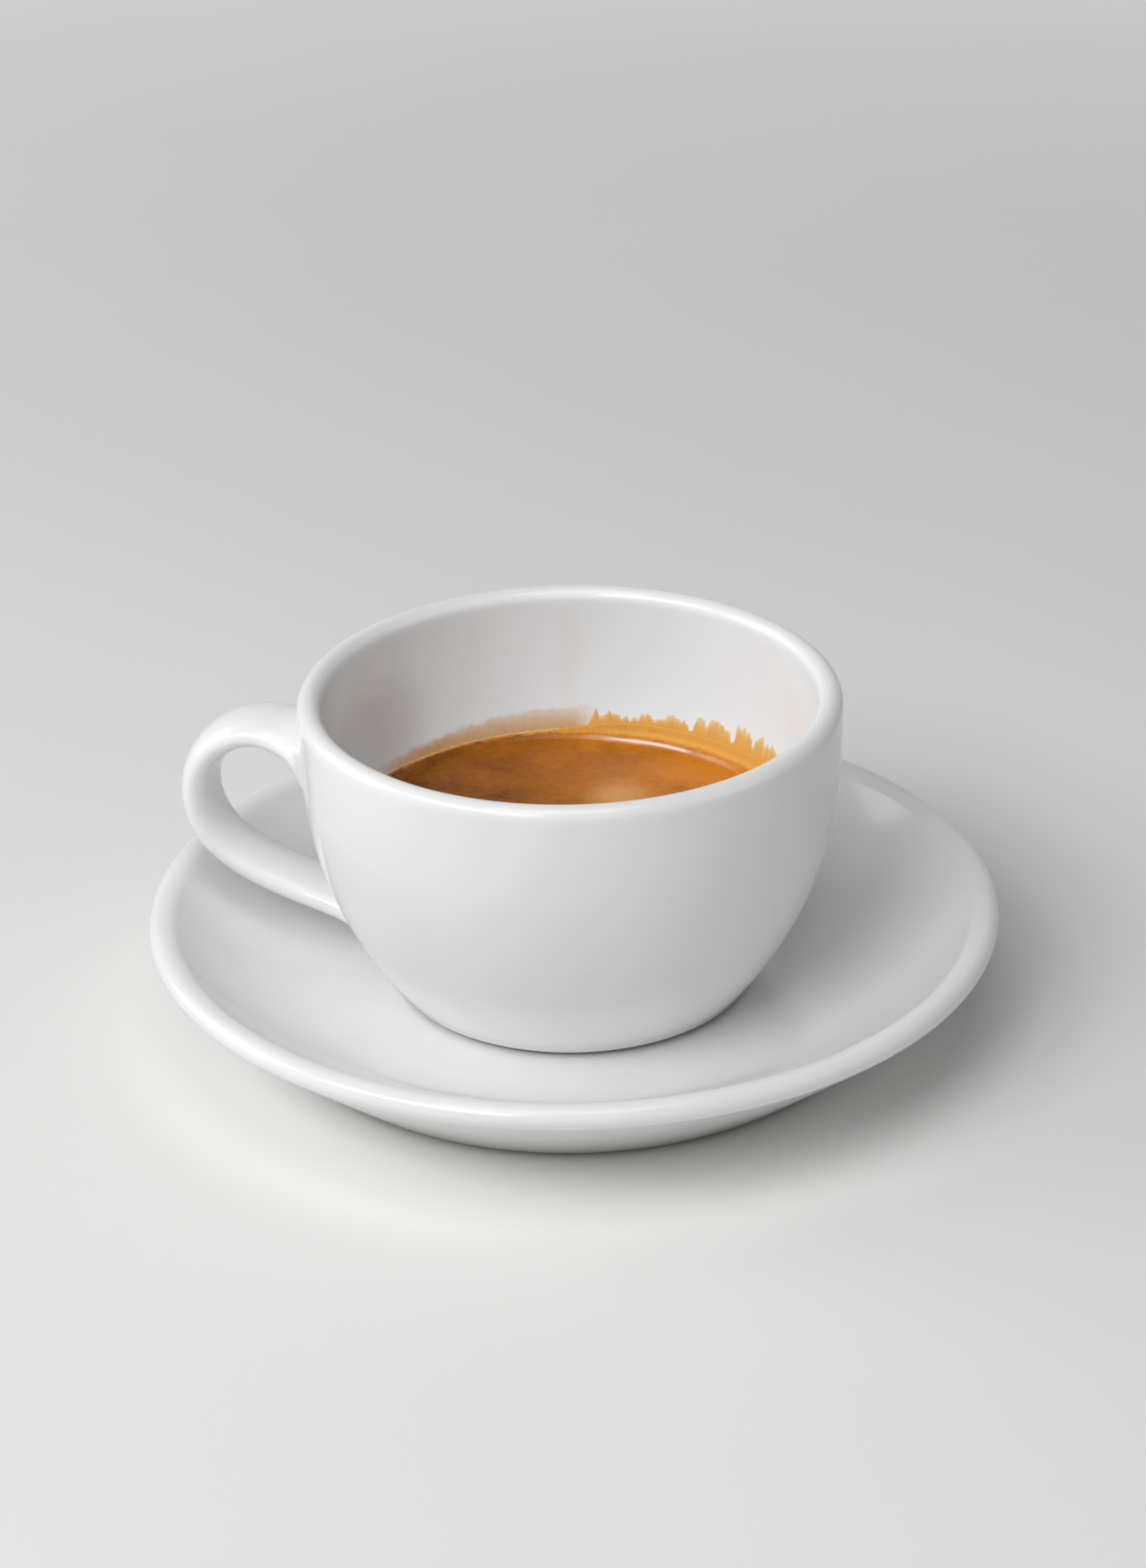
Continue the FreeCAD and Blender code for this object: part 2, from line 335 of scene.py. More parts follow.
def arc(middle, radius, start, end, steps):
    """Points along an arc, between two angles in degrees, both ends included."""
    turns = [math.radians(start + (end - start) * step / steps) for step in range(steps + 1)]
    return [(middle[0] + radius * math.cos(t), middle[1] + radius * math.sin(t)) for t in turns]


def spaced(start, end, steps):
    """Evenly spaced values from the start, without the end."""
    return [start + (end - start) * step / steps for step in range(steps)]


def smooth_line(points, steps):
    """Points along the natural cubic spline through the given ones."""
    points = np.array(points)
    gaps = np.linalg.norm(np.diff(points, axis=0), axis=1)
    knots = np.concatenate([[0], np.cumsum(gaps)])
    last = len(points) - 1
    system, right = np.eye(last + 1), np.zeros_like(points)
    for i in range(1, last):
        system[i, i - 1:i + 2] = gaps[i - 1], 2 * (gaps[i - 1] + gaps[i]), gaps[i]
        right[i] = 6 * ((points[i + 1] - points[i]) / gaps[i]
                        - (points[i] - points[i - 1]) / gaps[i - 1])
    bend = np.linalg.solve(system, right)
    line = []
    for at in np.linspace(0, knots[-1], steps + 1):
        i = min(int(np.searchsorted(knots, at, side="right")) - 1, last - 1)
        before, after, gap = at - knots[i], knots[i + 1] - at, gaps[i]
        line.append((bend[i] * after ** 3 + bend[i + 1] * before ** 3) / (6 * gap)
                    + (points[i] / gap - bend[i] * gap / 6) * after
                    + (points[i + 1] / gap - bend[i + 1] * gap / 6) * before)
    return line


# ---------------------------------------------------------------- materials
def new_material(name):
    material = bpy.data.materials.new(name)
    material.use_nodes = True
    material.node_tree.nodes.clear()
    tree = material.node_tree
    return material, tree, add_node(tree, "ShaderNodeTexCoord").outputs["Object"]


def off_axis(tree, place):
    """How far a place is from the cup's upright axis."""
    flat = add_node(tree, "ShaderNodeVectorMath", {0: place, 1: (1, 1, 0)}, operation="MULTIPLY")
    return add_node(tree, "ShaderNodeVectorMath", {0: flat}, operation="LENGTH")


def lay_over(tree, tone, layers):
    """Lays colours over a tone one after the other, each by its own share."""
    for share, layer in layers:
        tone = add_node(tree, "ShaderNodeMix", {"Factor": share, "A": tone, "B": rgba(layer)},
                        data_type="RGBA")
    return tone


def seen_share(tree):
    """One where the camera looks, straight, through glass or in a reflection, and else zero."""
    ray = add_node(tree, "ShaderNodeLightPath").outputs
    seen = ray["Is Camera Ray"]
    for other in ("Is Transmission Ray", "Is Glossy Ray"):
        seen = add_node(tree, "ShaderNodeMath", {0: seen, 1: ray[other]}, operation="MAXIMUM")
    return seen


def weak_bounce(tree, tone, colours):
    """Keeps the light that a brown piece throws on the white bowl almost grey."""
    ray = add_node(tree, "ShaderNodeLightPath").outputs
    return lay_over(tree, tone, [(ray["Is Diffuse Ray"], colours.bounce)])


def glazed_porcelain(colours, bare, film=False):
    """Hard porcelain, dip-glazed and fired: a glassy clear skin over an even white body.

    The skin gives sharp reflections that waver a little, because it pools unevenly over about
    15 mm. The foot ring is wiped bare before firing, up to a given height, so there it is matt,
    and worn grey. On the cup that band is drawn up onto the heel, where its grey is also painted
    shade along the line where the cup stands.
    """
    material, tree, place = new_material(
        "glazed_porcelain_with_coffee_film" if film else "glazed_porcelain")
    pooling = add_node(tree, "ShaderNodeTexNoise", {
        "Vector": place, "Scale": 1 / (15 * MM), "Detail": 1.5, "Roughness": 0.4})
    dust = add_node(tree, "ShaderNodeTexNoise", {
        "Vector": place, "Scale": 1 / (0.9 * MM), "Detail": 2})
    shade = add_node(tree, "ShaderNodeMapRange", {
        "Value": pooling, "From Min": 0.3, "From Max": 0.7, "To Min": 0, "To Max": 1})
    white = lay_over(tree, rgba(colours.glaze), [(shade, [c * 0.975 for c in colours.glaze])])
    # the cup's finish also gets the coffee marks and the painted paler inside of the bowl
    if film:
        white = coffee_film_and_painted_light(tree, place, white, colours)
    height = add_node(tree, "ShaderNodeSeparateXYZ", {"Vector": place}).outputs["Z"]
    # on the cup this band reaches onto the heel, so its grey also paints shade where the cup meets
    # the saucer
    wiped = add_node(tree, "ShaderNodeMapRange", {
        "Value": height, "From Min": bare - 0.2 * MM, "From Max": bare + 0.2 * MM,
        "To Min": 1, "To Max": 0}, interpolation_type="SMOOTHSTEP")
    body = lay_over(tree, white, [(wiped, colours.bisque_and_painted_shade)])
    gloss = add_node(tree, "ShaderNodeMapRange", {
        "Value": dust, "From Min": 0.3, "From Max": 0.7, "To Min": 0.1, "To Max": 0.15})
    roughness = add_node(tree, "ShaderNodeMix", {"Factor": wiped, "A": gloss, "B": 0.7})
    relief = add_node(tree, "ShaderNodeBump", {
        "Height": pooling, "Strength": 0.6, "Distance": 0.05 * MM})
    skin = add_node(tree, "ShaderNodeBsdfPrincipled", {
        "Base Color": body, "Roughness": roughness, "IOR": 1.52, "Normal": relief})
    add_node(tree, "ShaderNodeOutputMaterial", {"Surface": skin})
    return material


def dried_film(tree, turn, height, blots, grit):
    """Shares that make up the pale film above the crema, its dense foot and its tide line.

    It is highest where the crema's thick edge ends, and lower towards the handle.
    """
    line = add_node(tree, "ShaderNodeMapRange", {
        "Value": turn, "From Min": math.radians(96), "From Max": math.radians(152),
        "To Min": 39.5 * MM, "To Max": 37 * MM})
    wander = add_node(tree, "ShaderNodeMath", {0: blots, 1: 3.4 * MM, 2: -1.7 * MM},
                      operation="MULTIPLY_ADD")
    top = add_node(tree, "ShaderNodeMath", {0: line, 1: wander}, operation="ADD")
    under = add_node(tree, "ShaderNodeMath", {0: top, 1: height}, operation="SUBTRACT")
    film = add_node(tree, "ShaderNodeMapRange", {
        "Value": under, "From Min": -0.5 * MM, "From Max": 1.3 * MM, "To Min": 0, "To Max": 0.76},
        interpolation_type="SMOOTHSTEP")
    dense = add_node(tree, "ShaderNodeMapRange", {
        "Value": height, "From Min": 35.3 * MM, "From Max": 39 * MM, "To Min": 1, "To Max": 0},
        interpolation_type="SMOOTHSTEP")

    # the tide line runs 0.5 mm inside the film's edge
    inwards = add_node(tree, "ShaderNodeMath", {0: under, 1: 0.5 * MM}, operation="SUBTRACT")
    off_line = add_node(tree, "ShaderNodeMath", {0: inwards}, operation="ABSOLUTE")
    tide = add_node(tree, "ShaderNodeMapRange", {
        "Value": off_line, "From Min": 0.1 * MM, "From Max": 0.7 * MM, "To Min": 0.32, "To Max": 0},
        interpolation_type="SMOOTHSTEP")

    start = add_node(tree, "ShaderNodeMapRange", {
        "Value": turn, "From Min": math.radians(96), "From Max": math.radians(103)})
    end = add_node(tree, "ShaderNodeMapRange", {
        "Value": turn, "From Min": math.radians(146), "From Max": math.radians(172),
        "To Min": 1, "To Max": 0})
    return (film, start, end), (film, dense, start, end), (tide, grit, start, end)


def dried_run(tree, turn, height, blots):
    """Shares that make up a broad, very faint trail down from the lip."""
    sway = add_node(tree, "ShaderNodeMath", {0: blots, 1: math.radians(7), 2: turn},
                    operation="MULTIPLY_ADD")
    off = add_node(tree, "ShaderNodeMath", {0: sway, 1: math.radians(107.5)}, operation="SUBTRACT")
    aside = add_node(tree, "ShaderNodeMath", {0: off}, operation="ABSOLUTE")
    run = add_node(tree, "ShaderNodeMapRange", {
        "Value": aside, "From Min": math.radians(1), "From Max": math.radians(4.2),
        "To Min": 1, "To Max": 0}, interpolation_type="SMOOTHSTEP")
    low = add_node(tree, "ShaderNodeMapRange", {
        "Value": height, "From Min": 55 * MM, "From Max": 60 * MM, "To Min": 0.12, "To Max": 0})
    return run, low


def dried_smudge(tree, place):
    """Share of a faint greyish smudge, low on the side by the handle."""
    spot = add_node(tree, "ShaderNodeVectorMath", {0: place, 1: (-39 * MM, 18 * MM, 43 * MM)},
                    operation="DISTANCE")
    return add_node(tree, "ShaderNodeMapRange", {
        "Value": spot, "From Min": 3 * MM, "From Max": 13 * MM, "To Min": 0.3, "To Max": 0},
        interpolation_type="SMOOTHSTEP")


def coffee_film_and_painted_light(tree, place, white, colours):
    """The inside of the bowl: painted light that draws it paler than the outside, with dried coffee
    as a film, a run and a smudge.
    """
    x, y, height = add_node(tree, "ShaderNodeSeparateXYZ", {"Vector": place}).outputs
    turn = add_node(tree, "ShaderNodeMath", {0: y, 1: x}, operation="ARCTAN2")
    within = add_node(tree, "ShaderNodeMapRange", {
        "Value": off_axis(tree, place), "From Min": 43.1 * MM, "From Max": 44.3 * MM,
        "To Min": 1, "To Max": 0}, interpolation_type="SMOOTHSTEP")
    over = add_node(tree, "ShaderNodeMath", {0: height, 1: 31 * MM}, operation="GREATER_THAN")
    inside = add_node(tree, "ShaderNodeMath", {0: within, 1: over}, operation="MULTIPLY")
    # painted light: the bowl's inside, up to the lip, is drawn paler than the outside
    white = lay_over(tree, white, [(inside, colours.bowl_painted_light)])

    blots = add_node(tree, "ShaderNodeTexNoise", {
        "Vector": place, "Scale": 1 / (5 * MM), "Detail": 4, "Roughness": 0.6})
    grit = add_node(tree, "ShaderNodeTexNoise", {
        "Vector": place, "Scale": 1 / (0.8 * MM), "Detail": 3, "Roughness": 0.7})
    patchy = add_node(tree, "ShaderNodeMapRange", {
        "Value": grit, "From Min": 0.35, "From Max": 0.65, "To Min": 0.85, "To Max": 1.08})
    film, dense, tide = dried_film(tree, turn, height, blots, grit)
    marks = (((dried_smudge(tree, place),), colours.smudge),
             (dried_run(tree, turn, height, blots), colours.stain),
             (film, colours.stain), (tide, colours.stain_edge), (dense, colours.stain_edge))
    for shares, tone in marks:
        share = add_node(tree, "ShaderNodeMath", {0: patchy, 1: inside}, operation="MULTIPLY")
        for other in shares:
            share = add_node(tree, "ShaderNodeMath", {0: share, 1: other}, operation="MULTIPLY",
                             use_clamp=True)
        white = lay_over(tree, white, [(share, tone)])
    return white


def espresso(colours):
    """Espresso under its crema: an almost black brown liquid, smooth and wet."""
    material, tree, place = new_material("espresso")
    cloud = add_node(tree, "ShaderNodeTexNoise", {
        "Vector": place, "Scale": 1 / (8 * MM), "Detail": 3})
    tone = lay_over(tree, rgba(colours.coffee), [(cloud, [c * 1.6 for c in colours.coffee])])
    skin = add_node(tree, "ShaderNodeBsdfPrincipled", {
        "Base Color": tone, "Roughness": 0.08, "IOR": 1.34})
    add_node(tree, "ShaderNodeOutputMaterial", {"Surface": skin})
    return material


# along X, the crema's ring is half as wide up to the first place and full from the second
RING_NARROW, RING_FULL = -16 * MM, 2 * MM


def crema_tone(tree, place, x, y, radius, mottle, narrowing, colours):
    """Colour of the crema: browner clouds, painted shade towards the handle and the front, one
    thick pale patch, and a golden ring by the wall.
    """
    clouds = add_node(tree, "ShaderNodeTexNoise", {
        "Vector": place, "Scale": 1 / (12 * MM), "Detail": 2.5, "Distortion": 0.6})
    thick = add_node(tree, "ShaderNodeMapRange", {
        "Value": clouds, "From Min": 0.25, "From Max": 0.75, "To Min": 0.2, "To Max": 0.76})
    # painted shade: the crema is drawn darker towards the handle and the front, where the rim
    # shades it, besides being thinner there
    for along, rise in ((x, 0.55), (y, 0.3)):                 # paler away from the handle and to the back: thicker foam there, and painted shade of the rim on the handle's side and at the front
        thick = add_node(tree, "ShaderNodeMath", {0: along, 1: rise / (40 * MM), 2: thick},
                         operation="MULTIPLY_ADD")
    mottled = add_node(tree, "ShaderNodeMath", {0: mottle, 1: 0.5, 2: -0.25},
                       operation="MULTIPLY_ADD")
    thick = add_node(tree, "ShaderNodeMath", {0: thick, 1: mottled}, operation="ADD",
                     use_clamp=True)

    spot = add_node(tree, "ShaderNodeVectorMath", {0: place, 1: (4 * MM, 17 * MM, 34 * MM)},
                    operation="DISTANCE")
    rough_spot = add_node(tree, "ShaderNodeMath", {0: clouds, 1: 14 * MM, 2: spot},
                          operation="MULTIPLY_ADD")
    pale = add_node(tree, "ShaderNodeMapRange", {
        "Value": rough_spot, "From Min": 8 * MM, "From Max": 16 * MM, "To Min": 0.8, "To Max": 0},
        interpolation_type="SMOOTHSTEP")

    # the ring is golden on the side drunk from and browner by the handle, but for its very edge
    ragged = add_node(tree, "ShaderNodeMath", {0: mottle, 1: 1.6 * MM, 2: radius},
                      operation="MULTIPLY_ADD")
    ring_place = add_node(tree, "ShaderNodeMath", {0: ragged, 1: narrowing}, operation="SUBTRACT")
    ring = add_node(tree, "ShaderNodeMapRange", {
        "Value": ring_place, "From Min": 39 * MM, "From Max": 40.6 * MM,
        "To Min": 0, "To Max": 0.9}, interpolation_type="SMOOTHSTEP")
    golden = add_node(tree, "ShaderNodeMapRange", {
        "Value": x, "From Min": -26 * MM, "From Max": 4 * MM, "To Min": 0.2, "To Max": 1})
    ring = add_node(tree, "ShaderNodeMath", {0: ring, 1: golden}, operation="MULTIPLY")
    fringe = add_node(tree, "ShaderNodeMapRange", {
        "Value": ragged, "From Min": 40.9 * MM, "From Max": 41.9 * MM, "To Min": 0, "To Max": 0.7})
    return lay_over(tree, rgba(colours.crema_dark), [
        (thick, colours.crema_mid), (pale, colours.crema_light), (ring, colours.residue),
        (fringe, colours.residue)])


def wet_step(tree, x, radius, narrowing):
    """Share of the wet step up to the ring: it dries out towards the handle and the far side."""
    beyond = add_node(tree, "ShaderNodeMath", {0: radius, 1: 38.2 * MM}, operation="SUBTRACT")
    beyond = add_node(tree, "ShaderNodeMath", {0: beyond, 1: narrowing}, operation="SUBTRACT")
    off_step = add_node(tree, "ShaderNodeMath", {0: beyond}, operation="ABSOLUTE")
    wet = add_node(tree, "ShaderNodeMapRange", {
        "Value": off_step, "From Min": 0.6 * MM, "From Max": 1.1 * MM, "To Min": 1, "To Max": 0})
    for start, end, before, after in ((-10 * MM, 0, 0.14, 1), (15 * MM, 26 * MM, 1, 0)):
        drying = add_node(tree, "ShaderNodeMapRange", {
            "Value": x, "From Min": start, "From Max": end, "To Min": before, "To Max": after},
            interpolation_type="SMOOTHSTEP")
        wet = add_node(tree, "ShaderNodeMath", {0: wet, 1: drying}, operation="MULTIPLY")
    return wet


def crema_foam(colours):
    """Crema: a wet foam of bubbles too small to see, 0.1 mm or less, so it looks silky.

    It is paler where it is thick and browner where the coffee shows through, in soft clouds of
    about 12 mm with a mottle of about 1.4 mm in them; it is also drawn darker towards the handle
    and the front, as painted shade of the rim. The mottle of its relief is drawn at 0.5 mm,
    coarser than the bubbles, so that it shows.
    narrow that its coat is drawn shinier than water.
    """
    material, tree, place = new_material("crema_foam")
    x, y, _ = add_node(tree, "ShaderNodeSeparateXYZ", {"Vector": place}).outputs
    radius = off_axis(tree, place)
    narrowing = add_node(tree, "ShaderNodeMapRange", {
        "Value": x, "From Min": RING_NARROW, "From Max": RING_FULL,
        "To Min": 1.43 * MM, "To Max": 0})
    mottle = add_node(tree, "ShaderNodeTexNoise", {
        "Vector": place, "Scale": 1 / (1.4 * MM), "Detail": 3, "Roughness": 0.6})
    froth = add_node(tree, "ShaderNodeTexNoise", {
        "Vector": place, "Scale": 1 / (0.5 * MM), "Detail": 3, "Roughness": 0.6})
    tone = crema_tone(tree, place, x, y, radius, mottle, narrowing, colours)
    gloss = add_node(tree, "ShaderNodeMapRange", {
        "Value": mottle, "From Min": 0.3, "From Max": 0.7, "To Min": 0.24, "To Max": 0.32})
    relief = add_node(tree, "ShaderNodeBump", {
        "Height": froth, "Strength": 0.3, "Distance": 0.02 * MM})
    skin = add_node(tree, "ShaderNodeBsdfPrincipled", {
        "Base Color": weak_bounce(tree, tone, colours), "Roughness": gloss, "IOR": 1.35,
        "Specular IOR Level": 0.13, "Coat Weight": wet_step(tree, x, radius, narrowing),
        "Coat Roughness": 0.12, "Coat IOR": 1.8, "Normal": relief})
    add_node(tree, "ShaderNodeOutputMaterial", {"Surface": skin})
    return material


def crema_film(colours):
    """Crema left on the wall: the same foam drained thin, so it is golden, and matt as it dries.

    It thins out upwards to pale wisps, and its streaks run down the wall, about 1 mm wide and
    4 mm long.
    """
    material, tree, place = new_material("drained_crema_film")
    drawn = add_node(tree, "ShaderNodeMapping", {"Vector": place, "Scale": (1, 1, 0.25)})
    streaks = add_node(tree, "ShaderNodeTexNoise", {
        "Vector": drawn, "Scale": 1 / (1 * MM), "Detail": 3, "Roughness": 0.6})
    froth = add_node(tree, "ShaderNodeTexNoise", {
        "Vector": place, "Scale": 1 / (0.5 * MM), "Detail": 3, "Roughness": 0.6})
    height = add_node(tree, "ShaderNodeSeparateXYZ", {"Vector": place}).outputs["Z"]
    wander = add_node(tree, "ShaderNodeMath", {0: streaks, 1: 5 * MM, 2: height},
                      operation="MULTIPLY_ADD")
    thin = add_node(tree, "ShaderNodeMapRange", {
        "Value": wander, "From Min": 38.5 * MM, "From Max": 43.5 * MM})
    speckle = add_node(tree, "ShaderNodeMapRange", {
        "Value": froth, "From Min": 0.55, "From Max": 0.75, "To Min": 0, "To Max": 0.5})
    share = add_node(tree, "ShaderNodeAttribute", attribute_name="share_of_height").outputs["Fac"]
    ragged = add_node(tree, "ShaderNodeMath", {0: streaks, 1: 0.5, 2: share},
                      operation="MULTIPLY_ADD")
    wisps = add_node(tree, "ShaderNodeMapRange", {
        "Value": ragged, "From Min": 0.9, "From Max": 1.25, "To Min": 0, "To Max": 0.85},
        interpolation_type="SMOOTHSTEP")
    tone = lay_over(tree, rgba(colours.residue), [
        (thin, colours.residue_edge), (speckle, colours.crema_light), (wisps, colours.stain)])
    relief = add_node(tree, "ShaderNodeBump", {
        "Height": froth, "Strength": 0.6, "Distance": 0.06 * MM})
    skin = add_node(tree, "ShaderNodeBsdfPrincipled", {
        "Base Color": weak_bounce(tree, tone, colours), "Roughness": 0.42, "IOR": 1.35,
        "Specular IOR Level": 0.3, "Normal": relief})
    add_node(tree, "ShaderNodeOutputMaterial", {"Surface": skin})
    return material


def matt_floor(stage):
    """Matt painted board, rolled: even, with a faint tone from the roller.

    The lamps light it less and less from 0.2 m out, and from 1.1 m it only shows as evenly pale.
    """
    material, tree, place = new_material("matt_painted_board")
    roller = add_node(tree, "ShaderNodeTexNoise", {
        "Vector": place, "Scale": 1 / (60 * MM), "Detail": 3})
    paint = lay_over(tree, rgba(stage.floor_colour), [
        (roller, [c * 0.98 for c in stage.floor_colour])])
    skin = add_node(tree, "ShaderNodeBsdfPrincipled", {
        "Base Color": paint, "Roughness": 0.9, "Specular IOR Level": 0.2})
    away = add_node(tree, "ShaderNodeVectorMath", {0: place}, operation="LENGTH")
    far = add_node(tree, "ShaderNodeMapRange", {
        "Value": away, "From Min": 0.2, "From Max": 1.1, "To Min": 0, "To Max": 1},
        interpolation_type="SMOOTHSTEP")
    share = add_node(tree, "ShaderNodeMath", {0: far, 1: seen_share(tree)}, operation="MULTIPLY")
    pale = add_node(tree, "ShaderNodeEmission", {"Color": paint, "Strength": stage.far_floor})
    skin = add_node(tree, "ShaderNodeMixShader", {0: share, 1: skin, 2: pale})
    add_node(tree, "ShaderNodeOutputMaterial", {"Surface": skin})
    return material


# ---------------------------------------------------------------- saucer
def saucer_outline(sizes):
    """(radius, height) points from under the middle, out over the lip and back to the well."""
    lip = (sizes.radius - sizes.lip_round, sizes.lip_height)
    foot = (sizes.foot_radius - sizes.foot_round, sizes.foot_round)
    foot_inner = sizes.foot_radius - sizes.foot_width
    lip_top, roll = lip[1] + sizes.lip_round, sizes.lip_roll

    # the slope leaves the well level, and is as steep as the roll where the two meet
    steep = 0.7                                # radians, a first guess that the steps correct
    for _ in range(40):
        slope_run = lip[0] - roll * math.sin(steep) - sizes.well_radius
        slope_rise = lip_top - roll * (1 - math.cos(steep)) - sizes.well_height
        steep = 2 * math.atan(slope_rise / slope_run)
    slope = slope_run / math.sin(steep)
    steep = math.degrees(steep)

    # the underside runs straight between the two rounds that it touches
    reach = (lip[0] - foot[0], lip[1] - foot[1])
    lean = math.degrees(math.atan2(reach[1], reach[0]))
    opening = math.asin((sizes.lip_round - sizes.foot_round) / math.hypot(*reach))
    touch = lean - 90 - math.degrees(opening)
    edge = FOOT_EDGE
    points = [(0, sizes.recess), (foot_inner - 3 * MM, sizes.recess)]
    points += arc((foot_inner - edge, sizes.recess - edge), edge, 90, 0, 3)
    points += arc((foot_inner + edge, edge), edge, 180, 270, 4)
    points += arc(foot, sizes.foot_round, -90, touch, 5)
    points += arc(lip, sizes.lip_round, touch, 90, 24)
    points += arc((lip[0], lip_top - roll), roll, 90, 90 + steep, 12)[1:-1]
    points += arc((sizes.well_radius, sizes.well_height + slope), slope, steep - 90, -90, 44)
    points += [(sizes.well_radius * share, sizes.well_height) for share in (0.9, 0.5, 0)]
    return points


def lathe_tree():
    """Turns an outline, drawn upright beside the axis, into a closed round piece."""
    tree, given = new_tree("lathe", [
        ("Turns", "NodeSocketInt"), ("Axis radius", "NodeSocketFloat"),
        ("Finish", "NodeSocketMaterial")])
    laid = add_node(tree, "GeometryNodeTransform", {
        "Geometry": given["Geometry"], "Rotation": (math.pi / 2, 0, 0)})
    axis = add_node(tree, "GeometryNodeCurvePrimitiveCircle", {
        "Resolution": given["Turns"], "Radius": given["Axis radius"]})
    turned = add_node(tree, "GeometryNodeCurveToMesh", {"Curve": axis, "Profile Curve": laid})
    # the two ends of the outline leave tiny circles at the axis, which are merged shut
    wide = add_node(tree, "ShaderNodeMath", {0: given["Axis radius"], 1: 3}, operation="MULTIPLY")
    closed = add_node(tree, "GeometryNodeMergeByDistance", {"Geometry": turned, "Distance": wide})
    # an outline that runs from the underside up and over comes out with its faces turned in
    outwards = add_node(tree, "GeometryNodeFlipFaces", {"Mesh": closed})
    smooth = add_node(tree, "GeometryNodeSetShadeSmooth", {"Geometry": outwards})
    real = add_node(tree, "GeometryNodeRealizeInstances", {"Geometry": smooth})
    coated = add_node(tree, "GeometryNodeSetMaterial", {
        "Geometry": real, "Material": given["Finish"]})
    add_node(tree, "NodeGroupOutput", {"Geometry": coated})
    return tree


class ESPRESSO_OT_saucer(bpy.types.Operator):
    """Turn the saucer from its outline and glaze it"""
    bl_idname = "espresso.saucer"
    bl_label = "Saucer"

    def execute(self, context):
        sizes, colours = context.scene.espresso_saucer, context.scene.espresso_colours
        outline = bpy.data.curves.new("saucer_outline", "CURVE")
        outline.dimensions = "3D"
        spline = outline.splines.new("POLY")
        points = saucer_outline(sizes)
        spline.points.add(len(points) - 1)
        for placed, (radius, height) in zip(spline.points, points):
            placed.co = (radius, 0, height, 1)
        holder = bpy.data.objects.new("saucer_outline", outline)
        context.scene.collection.objects.link(holder)
        finish = glazed_porcelain(colours, sizes.bare)
        saucer = run_tree(holder, lathe_tree(), {
            "Turns": sizes.turns, "Axis radius": 0.01 * MM, "Finish": finish}, "glazed_saucer")
        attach(saucer, "root")
        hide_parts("saucer")
        return {"FINISHED"}


# ---------------------------------------------------------------- cup
COLUMNS = 72                # steps round the bowl, 5 degrees each
ROOT_COLUMNS = 6            # of them, those that a root of the handle takes
ROOT_ROWS = 3
UPPER_ROOT_DROP = 2.8 * MM  # middle of the upper root on the wall, below the strap's own middle
LOWER_ROOT_RISE = 1.5 * MM  # middle of the lower root on the wall, above the strap's own middle
STRAP_STEPS = 600           # steps along the middle of the strap, to measure by
STRAP_RINGS = 24            # steps between the strap's rings of points
STRAP_CLEAR = 1.3 * MM      # distance from the wall at which those rings start


def limit_swell(step):
    """How much larger a ring of points is drawn, so that its smoothed surface keeps the size."""
    return 3 / (2 + math.cos(step))


def cup_rings(cup, handle):
    """Rings (radius, height) from under the middle, up the outside, over the lip and down inside.

    Also gives the row where each of the handle's roots starts.
    """
    heel, low = cup.heel_radius, cup.heel_top - cup.heel_round
    foot, recess = cup.foot_radius, cup.base + cup.recess
    foot_inner = foot - cup.foot_width
    edge = FOOT_EDGE
    rings = [(foot_inner * share, recess) for share in (0.25, 0.6, 0.93)]
    rings += arc((foot_inner - edge, recess - edge), edge, 80, 10, 1)
    rings += arc((foot_inner + edge, cup.base + edge), edge, 190, 260, 1)
    rings += [(foot_inner + cup.foot_width / 2, cup.base)]
    rings += arc((foot - edge, cup.base + edge), edge, -80, -10, 1)
    # two rings keep the corner beside the foot, and two more the heel's edge
    rings += [(foot + 0.05 * MM, low), (foot + 0.8 * MM, low)]
    rings += arc((heel - cup.heel_round, cup.heel_top), cup.heel_round * 1.03, -90, 0, 3)

    upper = cup.top - handle.top_drop - UPPER_ROOT_DROP
    lower = cup.heel_top + handle.end_height + LOWER_ROOT_RISE
    ends = [lower - handle.lower_root / 2, lower + handle.lower_root / 2,
            upper - handle.upper_root / 2, upper + handle.upper_root / 2]
    heights = [cup.heel_top + 0.7 * MM, cup.heel_top + 1.5 * MM]
    roots = [len(rings) + len(heights)]
    heights += spaced(ends[0], ends[1], ROOT_ROWS) + spaced(ends[1], ends[2], 6)
    roots.append(len(rings) + len(heights))
    heights += spaced(ends[2], ends[3], ROOT_ROWS) + spaced(ends[3], cup.lip_middle, 3)
    rings += [(cup.outside(height), height) for height in heights]

    lip = cup.wall / 2 * limit_swell(math.pi / 8)
    rings += arc((cup.rim_radius - cup.wall / 2, cup.lip_middle), lip, 0, 180, 8)
    # shares of the depth, closer together where the wall turns into the floor
    depths = [0.05, 0.1, 0.16, 0.22, 0.29, 0.36, 0.43, 0.5, 0.57, 0.64, 0.7, 0.76, 0.82, 0.87,
              0.91, 0.94, 0.965, 0.983, 0.994, 0.9985]
    drop = cup.lip_middle - cup.cavity_bottom
    rings += [(cup.inside(cup.lip_middle - drop * share), cup.lip_middle - drop * share)
              for share in depths]
    return rings, roots, recess


def handle_line(cup, handle):
    """Middle of the strap from the upper root round to the lower one, in the XZ plane."""
    top = cup.top - handle.top_drop
    low = cup.heel_top + handle.end_height
    # shares of the reach out from the rim, and of the height from the low end to the top
    bends = [(0.19, 0.97), (0.44, 1), (1, 0.83), (0.995, 0.405), (0.64, 0.23), (0.14, 0.113)]
    points = [(-cup.rim_radius - reach * handle.reach, low + rise * (top - low))
              for reach, rise in bends]
    start = low + 0.92 * (top - low)
    points.insert(0, (cup.wall / 2 - cup.outside(start), start))
    points.append((cup.wall / 2 - cup.outside(low), low))
    return smooth_line(points, STRAP_STEPS)


